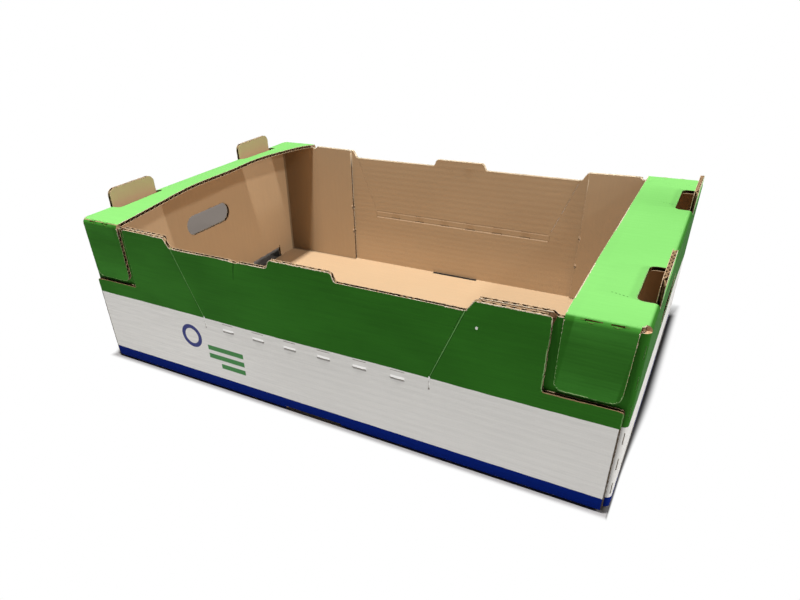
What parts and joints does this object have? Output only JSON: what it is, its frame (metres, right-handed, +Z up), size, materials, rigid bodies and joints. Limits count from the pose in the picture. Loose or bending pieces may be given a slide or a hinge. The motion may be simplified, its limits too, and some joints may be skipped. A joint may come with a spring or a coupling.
{
  "type": "cardboard produce tray",
  "caption": "Open-top cardboard produce tray folded from one corrugated sheet, with end shelves, stacking tabs, hand holes and a perforated display panel in each long wall.",
  "frame": {"origin": "middle of the footprint, on the floor", "axes": "+X along the length of the tray, +Y towards the back long wall, +Z up"},
  "size_m": [0.6, 0.396, 0.198],
  "materials": {
    "corrugated_board": "matt kraft board, printed outside in green, white and blue"
  },
  "bodies": {
    "root": {"folded_tray": "corrugated_board"}
  },
  "joints": []
}
